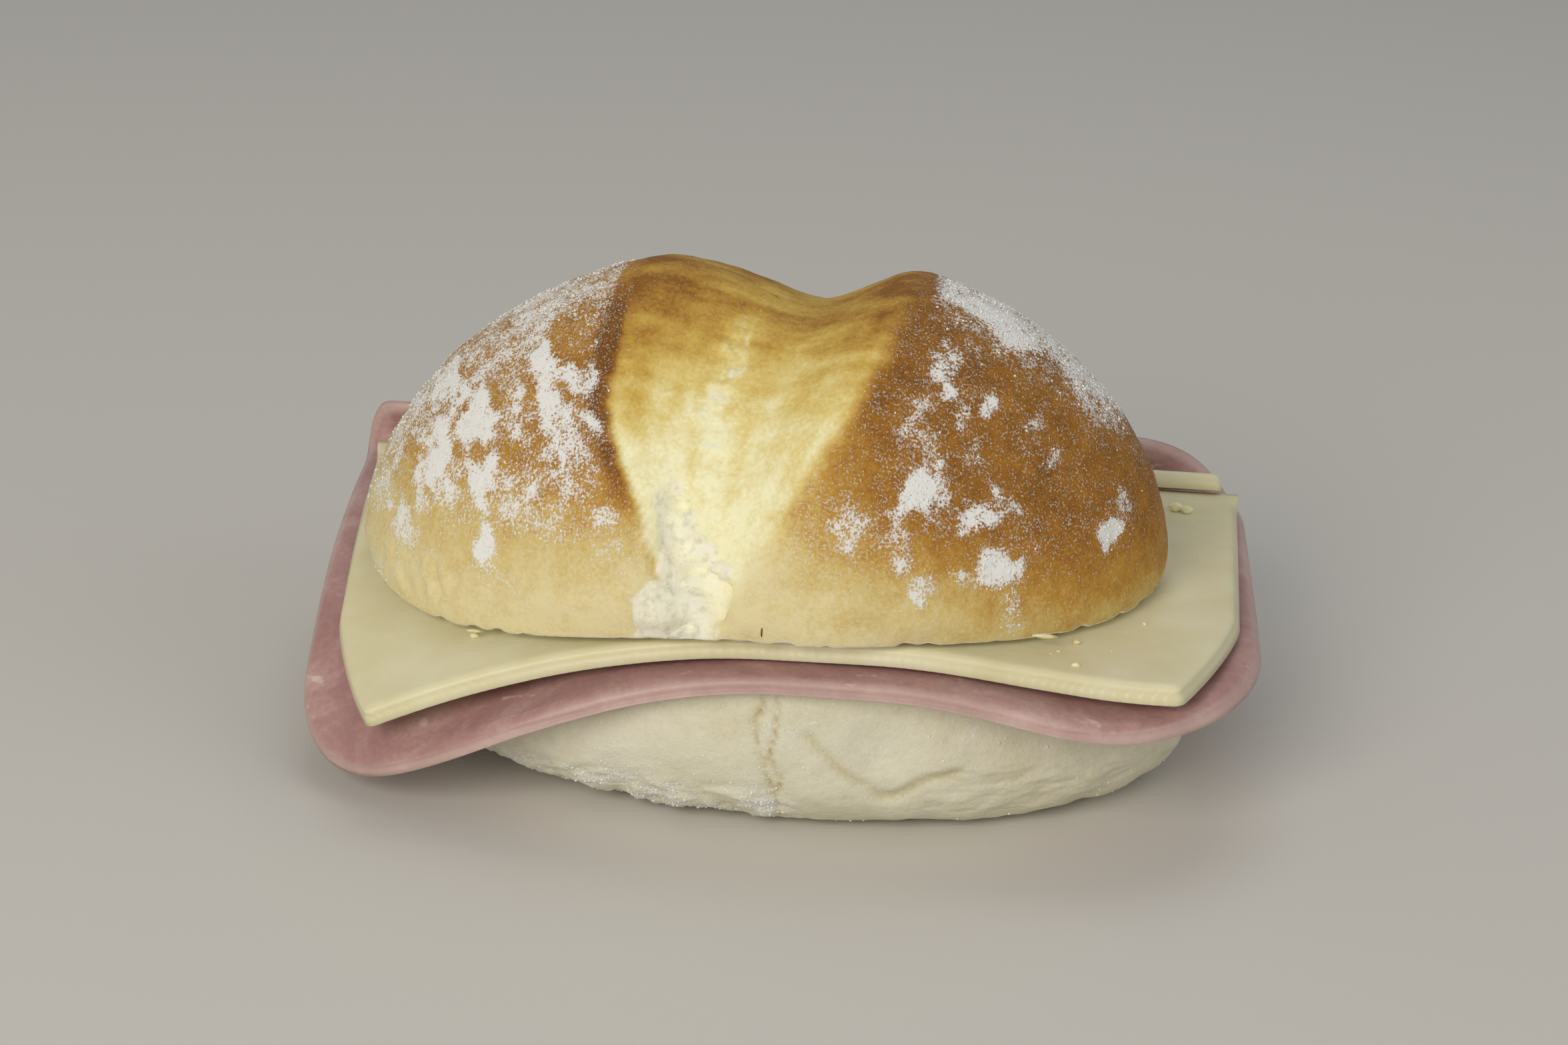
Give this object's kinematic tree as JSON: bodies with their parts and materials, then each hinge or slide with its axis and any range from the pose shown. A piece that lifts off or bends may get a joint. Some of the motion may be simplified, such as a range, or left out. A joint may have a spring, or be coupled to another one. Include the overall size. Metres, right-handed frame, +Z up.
{
  "type": "bolillo roll",
  "caption": "Crusty floured bread roll cut through level and filled with a cheese slice, a strip of cheese and a cooked ham slice that droops past the rim.",
  "frame": {"origin": "on the ground at the middle of the bounding box's underside", "axes": "+X along the roll towards its right end as seen from the front, -Y towards the front of the roll, +Z up"},
  "size_m": [0.1193, 0.0795, 0.0623],
  "materials": {
    "crown_crust": "golden brown crust, floured and matt",
    "heel_crust": "pale floured crust, matt",
    "cooked_ham": "moist pink meat, soft sheen",
    "cheese": "smooth pale cheese, soft sheen"
  },
  "bodies": {
    "root": {"roll_top": "crown_crust", "roll_bottom": "heel_crust", "ham_slice": "cooked_ham", "cheese_slice": "cheese", "cheese_strip": "cheese"}
  },
  "joints": []
}
